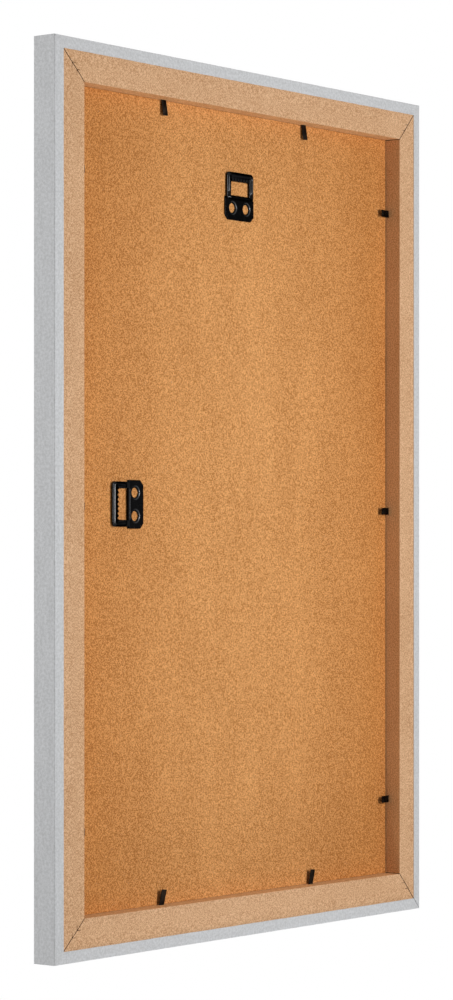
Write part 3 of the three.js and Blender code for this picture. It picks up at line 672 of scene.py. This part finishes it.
def loop_pin(hanger):
    """The loop's pin: a circle carried along the hinge, a little smaller at its ends."""
    ring = arc((0, 0), 1, 0, 345, 24)
    across = np.array([[-1], [-0.99], [0.99], [1]]) * hanger.pin_half
    radius = np.array([[0.7], [1], [1], [0.7]]) * hanger.pin_radius
    return tube(stacked(across, radius * ring[:, 0], radius * ring[:, 1]))


def about_hinge(body, shells, drop):
    """Shells in (across, out, up), brought to a body's hinge after their height is lowered by the drop."""
    return [(on_hinge(body, points - [0, 0, drop]), faces, smooth) for points, faces, smooth in shells]


# Finishes

VECTOR, FLOAT = "NodeSocketVector", "NodeSocketFloat"


def dress(tree, node, sockets):
    """Sets or links a node's own inputs."""
    for label, value in sockets.items():
        if isinstance(value, bpy.types.NodeSocket):
            tree.links.new(value, node.inputs[label])
        else:
            node.inputs[label].default_value = value


def add(tree, kind, inputs=None, **settings):
    """The outputs of a new node with its settings, each of its inputs set or linked."""
    node = tree.nodes.new(kind)
    for name, value in settings.items():
        setattr(node, name, value)
    dress(tree, node, inputs or {})
    return node.outputs


def math_node(tree, operation, *values):
    """The result of one operation on numbers or sockets."""
    return add(tree, "ShaderNodeMath", dict(enumerate(values)), operation=operation)[0]


def weighed(tree, first, second, share):
    """The first value's share and the second value's rest, added up."""
    rest = math_node(tree, "MULTIPLY", second, 1 - share)
    return math_node(tree, "MULTIPLY_ADD", first, share, rest)


def ramp(tree, value, low, high, start=0.0, stop=1.0):
    """A value spread from low and high to start and stop, and held there beyond them."""
    spread = {"Value": value, "From Min": low, "From Max": high, "To Min": start, "To Max": stop}
    return add(tree, "ShaderNodeMapRange", spread)[0]


def noise(tree, vector, scale, detail, distortion=0.0):
    """A cloud of values about one half."""
    sockets = {"Vector": vector, "Scale": scale, "Detail": detail, "Distortion": distortion}
    return add(tree, "ShaderNodeTexNoise", sockets)[0]


def mixed(tree, share, *ends):
    """A colour between two others, each a socket or a colour's three parts."""
    first, second = (end if isinstance(end, bpy.types.NodeSocket) else (*end, 1.0) for end in ends)
    return add(tree, "ShaderNodeMix", {0: share, 6: first, 7: second}, data_type="RGBA")[2]


def new_group(name, inputs, outputs):
    """An empty shader group with named sockets: the group, its inputs and a call that links an output."""
    group = bpy.data.node_groups.new(name, "ShaderNodeTree")
    for label, kind in inputs.items():
        group.interface.new_socket(label, in_out="INPUT", socket_type=kind)
    for label, kind in outputs.items():
        group.interface.new_socket(label, in_out="OUTPUT", socket_type=kind)
    into = group.nodes.new("NodeGroupInput").outputs
    out = group.nodes.new("NodeGroupOutput").inputs

    def give(label, socket):
        group.links.new(socket, out[label])

    return group, into, give


def make_speckle(name):
    """Fine speckle: coarse and fine noise, spread to run from 0 to 1."""
    group, into, give = new_group(name, {"Vector": VECTOR, "Scale": FLOAT}, {"Value": FLOAT})
    coarse = noise(group, into["Vector"], into["Scale"], 1.0)
    fine = noise(group, into["Vector"], math_node(group, "MULTIPLY", into["Scale"], 2.1), 1.0)
    give("Value", ramp(group, weighed(group, fine, coarse, 0.4), 0.4, 0.6))
    return group


def make_strands(name):
    """Stray fibres: thin lines where a cloud crosses one half, kept only where a second cloud is high."""
    group, into, give = new_group(
        name, {"Vector": VECTOR, "Scale": FLOAT, "Sparse": FLOAT}, {"Light": FLOAT, "Dark": FLOAT}
    )
    patch_scale = math_node(group, "MULTIPLY", into["Scale"], 1.7)
    most = math_node(group, "ADD", into["Sparse"], 0.05)
    for label, offset in (("Light", (0.31, 0.17, 0.53)), ("Dark", (0.71, 0.43, 0.29))):
        moved = add(group, "ShaderNodeMapping", {"Vector": into["Vector"], "Location": offset})[0]
        line = noise(group, moved, into["Scale"], 1.0, 0.6)
        away = math_node(group, "ABSOLUTE", math_node(group, "SUBTRACT", line, 0.5))
        thin = ramp(group, away, 0.0, 0.035, 1.0, 0.0)
        patch = ramp(group, noise(group, moved, patch_scale, 0.0), into["Sparse"], most)
        give(label, math_node(group, "MULTIPLY", thin, patch))
    return group


def make_blotches(name):
    """Soft blotches: a slow cloud, stretched along one axis and spread to run from 0 to 1."""
    group, into, give = new_group(
        name, {"Vector": VECTOR, "Scale": FLOAT, "Stretch": VECTOR}, {"Value": FLOAT}
    )
    drawn = add(group, "ShaderNodeMapping", {"Vector": into["Vector"], "Scale": into["Stretch"]})[0]
    give("Value", ramp(group, noise(group, drawn, into["Scale"], 4.0), 0.3, 0.7))
    return group


def placed(tree, name, make, **sockets):
    """The outputs of one use of a shared group, which is made the first time it is asked for."""
    group = bpy.data.node_groups.get(name) or make(name)
    return add(tree, "ShaderNodeGroup", sockets, node_tree=group)


def speckle(tree, vector, scale):
    """Fine speckle in a material."""
    return placed(tree, "Fine speckle", make_speckle, Vector=vector, Scale=scale)["Value"]


def strands(tree, vector, scale, sparse):
    """Stray fibres in a material."""
    return placed(tree, "Stray fibres", make_strands, Vector=vector, Scale=scale, Sparse=sparse)


def blotches(tree, vector, scale, stretch=(1, 1, 1)):
    """Soft blotches in a material."""
    made = placed(tree, "Soft blotches", make_blotches, Vector=vector, Scale=scale, Stretch=stretch)
    return made["Value"]


def new_finish(name):
    """The tree of a new material, and a call that dresses its Principled shader and gives the material."""
    finish = bpy.data.materials.new(name)
    finish.use_nodes = True
    tree = finish.node_tree

    def dressed(sockets):
        dress(tree, tree.nodes["Principled BSDF"], sockets)
        return finish

    return tree, dressed


def object_place(tree):
    """The place on the object, in metres."""
    return add(tree, "ShaderNodeTexCoord")["Object"]


def shown(tree):
    """1 where a surface is seen, straight or by way of gloss or glass, and 0 where it only gives light."""
    rays = add(tree, "ShaderNodeLightPath")
    through = math_node(tree, "MAXIMUM", rays["Is Glossy Ray"], rays["Is Transmission Ray"])
    return math_node(tree, "MAXIMUM", rays["Is Camera Ray"], through)


def bump(tree, height, strength, distance):
    """A normal bent by a height."""
    sockets = {"Height": height, "Strength": strength, "Distance": distance}
    return add(tree, "ShaderNodeBump", sockets)[0]


def cut_faces(tree):
    """Two masks: 1 on faces upright on the back, and 1 on the mitres, half way between two axes, where
    painted shade goes.
    """
    normal = add(tree, "ShaderNodeNewGeometry")["Normal"]
    sides = add(tree, "ShaderNodeSeparateXYZ", {"Vector": normal})
    x, y, z = (math_node(tree, "ABSOLUTE", sides[axis]) for axis in "XYZ")
    return ramp(tree, y, 0.4, 0.6, 1, 0), ramp(tree, math_node(tree, "MINIMUM", x, z), 0.4, 0.6)


def painted_sheen_middle(tree, place, middle, half):
    """1 in the middle of the back, falling evenly with the square of the distance to 0 at its edges: the
    share of painted light and sheen.
    """
    sockets = {"Vector": place, "Location": tuple(-middle / half), "Scale": tuple(1 / half)}
    near = add(tree, "ShaderNodeMapping", sockets)[0]
    square = add(tree, "ShaderNodeVectorMath", {0: near, 1: near}, operation="DOT_PRODUCT")[1]
    return ramp(tree, square, 0, 1, 1, 0)


def fibre_finish(name, board, colours, scale, cloud_scale, stretch, sparse, rough):
    """Pressed wood fibre: speckle between two colours, slow clouds, and stray light and dark strands.

    colours gives the colour from the material's tree, the place on it and the shade between a kind's two.
    """
    tree, dressed = new_finish(name)
    place = object_place(tree)
    grains = speckle(tree, place, scale)
    cloud = blotches(tree, place, cloud_scale, stretch)
    stray = strands(tree, place, scale * STRAND_SCALE, sparse)
    tone = weighed(tree, cloud, grains, CLOUD_SHARE)

    def shade(kind):
        return mixed(tree, tone, getattr(board, f"{kind}_dark"), getattr(board, f"{kind}_light"))

    skin = colours(tree, place, shade)
    for label, tint, share in (("Light", board.strand_light, 0.6), ("Dark", board.strand_dark, 0.45)):
        skin = mixed(tree, math_node(tree, "MULTIPLY", stray[label], share), skin, tint)
    return dressed({
        "Base Color": skin,
        "Roughness": ramp(tree, grains, 0, 1, rough + 0.08, rough - 0.06),
        "Specular IOR Level": 0.12,
        "Normal": bump(tree, math_node(tree, "ADD", grains, stray["Light"]), 0.35, 0.00025),
    })


def foil_finish(foil):
    """Printed grey foil: a fine cool speckle, faint streaks along the rail and a satin skin."""
    tree, dressed = new_finish("Grey foil")
    wrap = add(tree, "ShaderNodeUVMap", uv_map="wrap")[0]
    grains = speckle(tree, wrap, scale=480)
    streaks = blotches(tree, wrap, scale=260, stretch=(0.12, 1, 1))
    tone = weighed(tree, streaks, grains, share=0.3)
    return dressed({
        "Base Color": mixed(tree, tone, foil.dark, foil.light),
        "Roughness": ramp(tree, tone, 0, 1, 0.52, 0.4),
        "Specular IOR Level": 0.4,
        "Normal": bump(tree, grains, 0.12, 0.0001),
    })


def black_finish(name, enamel, worn, rough, tint=0.0, bare=None):
    """Blackened steel: a faint orange-peel skin, with duller and rubbed patches.

    tint darkens slanting views. The last colour goes where the mesh marks a hole's rim: rubbed metal that is
    also a painted highlight.
    """
    tree, dressed = new_finish(name)
    place = object_place(tree)
    peel = speckle(tree, place, scale=1500)
    rubbed = blotches(tree, place, scale=220)
    skin = mixed(tree, math_node(tree, "MULTIPLY", rubbed, peel), enamel, worn)
    # rubbed metal on the holes' rims that is also a painted highlight, as marked on the mesh
    edges = add(tree, "ShaderNodeAttribute", attribute_name="rubbed")["Fac"]
    return dressed({
        "Base Color": mixed(tree, edges, skin, bare or worn),
        "Roughness": ramp(tree, rubbed, 0, 1, rough - 0.03, rough + 0.05),
        "Metallic": 1.0,
        "Specular Tint": (tint, tint, tint, 1),
        "Normal": bump(tree, peel, 0.1, 0.00005),
    })


def steel_finish(board):
    """Steel of the V-nails: bright metal with dulled patches."""
    tree, dressed = new_finish("Bright steel")
    place = object_place(tree)
    grains, patches = speckle(tree, place, scale=1800), blotches(tree, place, scale=400)
    dull = math_node(tree, "MULTIPLY", grains, patches)
    return dressed({
        "Base Color": mixed(tree, dull, board.nail, board.nail_dull),
        "Metallic": 1.0,
        "Roughness": ramp(tree, dull, 0, 1, 0.38, 0.6),
        "Normal": bump(tree, dull, 0.15, 0.00005),
    })


def paper_finish(board):
    """Blank paper: a faint fibre tooth."""
    tree, dressed = new_finish("Blank paper")
    tooth = speckle(tree, object_place(tree), scale=900)
    return dressed({
        "Base Color": mixed(tree, tooth, board.paper_shade, board.paper),
        "Roughness": ramp(tree, tooth, 0, 1, 0.86, 0.78),
        "Specular IOR Level": 0.25,
        "Normal": bump(tree, tooth, 0.1, 0.00005),
    })


def glass_finish():
    """Clear glazing: smooth, with faint wiping marks in its gloss."""
    tree, dressed = new_finish("Clear glazing")
    wiped = blotches(tree, object_place(tree), scale=30, stretch=(1, 1, 0.3))
    return dressed({
        "Base Color": (0.97, 0.985, 0.975, 1),
        "Roughness": ramp(tree, wiped, 0, 1, 0.0, 0.035),
        "IOR": 1.5,
        "Transmission Weight": 1.0,
    })


# Operators


class FRAME_OT_rails(bpy.types.Operator):
    """Give the four rails their raw pressed-fibre finish"""

    bl_idname = "frame.rails"
    bl_label = "Rails"

    def execute(self, context):
        board = context.scene.frame_board

        def colours(tree, place, shade):
            upright, mitre = cut_faces(tree)
            # the mitre faces get painted shade for the dark inside of the gaps
            return mixed(tree, mitre, mixed(tree, upright, shade("mdf"), shade("core")), board.sawn)

        raw = fibre_finish(
            "Raw MDF", board, colours,
            scale=950, cloud_scale=26, stretch=(1, 1, 1), sparse=0.7, rough=0.88,
        )
        coat([f"{side}_rail" for side in SIDES], raw)
        return {"FINISHED"}


class FRAME_OT_foils(bpy.types.Operator):
    """Wrap the four rails in printed foil"""

    bl_idname = "frame.foils"
    bl_label = "Foil wraps"

    def execute(self, context):
        foil = context.scene.frame_foil
        finish = foil_finish(foil)
        for side in SIDES:
            shell, wrap = foil_wrap(foil, side)
            made = piece(f"{side}_foil_wrap", [shell], finish, [f"{side}_foil"], wrap)
            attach(made, "frame")
        return {"FINISHED"}


class FRAME_OT_v_nails(bpy.types.Operator):
    """Give the V-nails across the mitres their steel finish"""

    bl_idname = "frame.v_nails"
    bl_label = "V-nails"

    def execute(self, context):
        coat(V_NAILS, steel_finish(context.scene.frame_board))
        return {"FINISHED"}


class FRAME_OT_picture_pack(bpy.types.Operator):
    """Give the glazing, the insert sheet and the hardboard back their finishes"""

    bl_idname = "frame.picture_pack"
    bl_label = "Glazing, sheet and back"

    def execute(self, context):
        board = context.scene.frame_board
        middle, half = halves(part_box("backboard"))

        def colours(tree, place, shade):
            # painted light: the back is lighter and whiter in its middle, a pool of light and a sheen painted
            # into its colour
            painted_sheen_share = painted_sheen_middle(tree, place, middle, half * PAINTED_SHEEN_REACH)
            return mixed(tree, painted_sheen_share, shade("hardboard"), shade("faded"))

        hardboard = fibre_finish(
            "Hardboard", board, colours,
            scale=1000, cloud_scale=20, stretch=(1, 1, 0.45), sparse=0.74, rough=0.7,
        )
        coat(["backboard"], hardboard)
        coat(["insert_sheet"], paper_finish(board))
        coat(["glazing"], glass_finish())
        return {"FINISHED"}


class FRAME_OT_tabs(bpy.types.Operator):
    """Bend the ten tabs out of the rebate walls, each one strip from its shank to its tip"""

    bl_idname = "frame.tabs"
    bl_label = "Tabs"

    def execute(self, context):
        tab = context.scene.frame_tab
        finish = black_finish("Black tab steel", tab.enamel, tab.worn, rough=0.42, tint=0.3)
        strip = tab_strip(tab)
        for body in TABS:
            nodes = [body, f"{body}_shank"]
            made = piece(f"{body}_strip", about_hinge(body, [strip], 0), finish, nodes)
            start, end = on_hinge(body, stacked(0, np.array(TAB_BLEND), 0))
            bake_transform(made)
            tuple(start)
            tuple(end)
        return {"FINISHED"}


class FRAME_OT_straps(bpy.types.Operator):
    """Fold the two hanger straps round their pins, with sunk holes and claws"""

    bl_idname = "frame.straps"
    bl_label = "Hanger straps"

    def execute(self, context):
        hanger = context.scene.frame_hanger
        finish = black_finish("Black steel", hanger.enamel, hanger.worn, rough=0.25, bare=hanger.bare)
        shells = [strap_plate(hanger), strap_knuckle(hanger), *strap_ears(hanger), *strap_claws(hanger)]
        # the holes' rims get lighter rubbed metal that is also a painted highlight
        rubbed = np.concatenate([worn_rims_and_highlights(hanger, points) for points, _, _ in shells])
        for name in HANGERS:
            at_hinge = about_hinge(f"{name}_loop", shells, hanger.axis_height)
            made = piece(f"{name}_folded_strap", at_hinge, finish, [f"{name}_strap"])
            made.data.attributes.new("rubbed", "FLOAT", "POINT").data.foreach_set("value", rubbed)
            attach(made, "frame")
        return {"FINISHED"}


class FRAME_OT_loops(bpy.types.Operator):
    """Make the two notched hanger loops with ribbed legs on their pins"""

    bl_idname = "frame.loops"
    bl_label = "Hanger loops"

    def execute(self, context):
        hanger = context.scene.frame_hanger
        finish = black_finish("Black loop steel", hanger.loop_enamel, hanger.loop_worn, rough=0.16)
        shells = [loop_band(hanger), loop_pin(hanger)]
        for name in HANGERS:
            body = f"{name}_loop"
            made = piece(f"{body}_band", about_hinge(body, shells, 0), finish, [body])
            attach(made, body)
        return {"FINISHED"}


class FRAME_OT_stage(bpy.types.Operator):
    """Set up the floor, the lamps, the white surround and the camera"""

    bl_idname = "frame.stage"
    bl_label = "Studio"

    def execute(self, context):
        stage = context.scene.frame_stage
        middle, _ = halves(CAD_BOX)
        self.floor(stage, middle, CAD_BOX[0][2] - stage.floor_drop)
        for name, power, size, direction, distance in LAMPS:
            self.lamp(name, getattr(stage, power), size, middle, direction, distance)
        self.surround(context.scene, stage)
        self.camera(context.scene, stage)
        context.scene.view_settings.view_transform = "Standard"
        return {"FINISHED"}

    def floor(self, stage, middle, height):
        """A square sheet of floor."""
        side = np.array([[-1, -1], [1, -1], [1, 1], [-1, 1]]) * stage.floor_size / 2
        corners = np.column_stack([side + middle[:2], np.full(4, height)])
        mesh = bpy.data.meshes.new("floor")
        mesh.from_pydata(corners.tolist(), [], [(0, 1, 2, 3)])
        tree, dressed = new_finish("Pale floor")
        tone = blotches(tree, object_place(tree), scale=2)
        shade = [share * 0.97 for share in stage.floor]
        pale = mixed(tree, tone, shade, stage.floor)
        mesh.materials.append(dressed({
            "Base Color": pale,
            "Roughness": 0.9,
            "Specular IOR Level": 0.1,
            "Emission Color": pale,
            "Emission Strength": math_node(tree, "MULTIPLY", shown(tree), stage.floor_glow),
        }))
        made = put("floor", mesh)

    def lamp(self, name, power, size, middle, direction, distance):
        """A soft lamp, so wide and so high, that looks at the frame's middle from a direction."""
        data = bpy.data.lights.new(name, "AREA")
        data.shape = "RECTANGLE"
        data.energy, data.size, data.size_y = power, *size
        made = put(name, data)
        away = np.array(direction) / np.linalg.norm(direction)
        made.location = middle + away * distance
        flat = math.hypot(away[0], away[1])
        made.rotation_euler = (math.atan2(flat, away[2]), 0, math.atan2(away[0], -away[1]))

    def surround(self, scene, stage):
        """White all round where it is seen, and a plain level of light where it isn't."""
        scene.world = bpy.data.worlds.new("Surround")
        scene.world.use_nodes = True
        tree = scene.world.node_tree
        strength = ramp(tree, shown(tree), 0, 1, stage.ambient, 1.0)
        dress(tree, tree.nodes["Background"], {"Color": (1, 1, 1, 1), "Strength": strength})

    def camera(self, scene, stage):
        """A level camera at the photograph's place."""
        data = bpy.data.cameras.new("Camera")
        data.lens, data.shift_y = stage.lens, stage.shift
        data.clip_end = 50
        made = put("Camera", data)
        made.location = stage.camera
        made.rotation_euler = (math.pi / 2, 0, stage.heading)
        scene.camera = made


STEPS = (
    FRAME_OT_rails,
    FRAME_OT_foils,
    FRAME_OT_v_nails,
    FRAME_OT_picture_pack,
    FRAME_OT_tabs,
    FRAME_OT_straps,
    FRAME_OT_loops,
    FRAME_OT_stage,
)
SETTINGS = {
    "frame_foil": FoilSettings,
    "frame_board": BoardSettings,
    "frame_tab": TabSettings,
    "frame_hanger": HangerSettings,
    "frame_stage": StageSettings,
}


class FRAME_PT_builder(bpy.types.Panel):
    """Lists the frame's sizes and colours and the steps that build it"""

    bl_idname = "FRAME_PT_builder"
    bl_label = "Picture Frame"
    bl_space_type = "VIEW_3D"
    bl_region_type = "UI"
    bl_category = "Picture Frame"

    def draw(self, context):
        for step in STEPS:
            self.layout.operator(step.bl_idname)
        for name, settings in SETTINGS.items():
            box = self.layout.box()
            box.label(text=settings.__doc__)
            for label in settings.__annotations__:
                box.prop(getattr(context.scene, name), label)


def register():
    for made in (*SETTINGS.values(), *STEPS, FRAME_PT_builder):
        bpy.utils.register_class(made)
    for name, settings in SETTINGS.items():
        setattr(bpy.types.Scene, name, bpy.props.PointerProperty(type=settings))


def unregister():
    for name in SETTINGS:
        delattr(bpy.types.Scene, name)
    for made in (FRAME_PT_builder, *reversed(STEPS), *SETTINGS.values()):
        bpy.utils.unregister_class(made)


def main():
    """Registers the add-on and builds the frame step by step."""
    register()
    for step in STEPS:
        group, name = step.bl_idname.split(".")
        getattr(getattr(bpy.ops, group), name)()


if __name__ == "__main__":
    main()
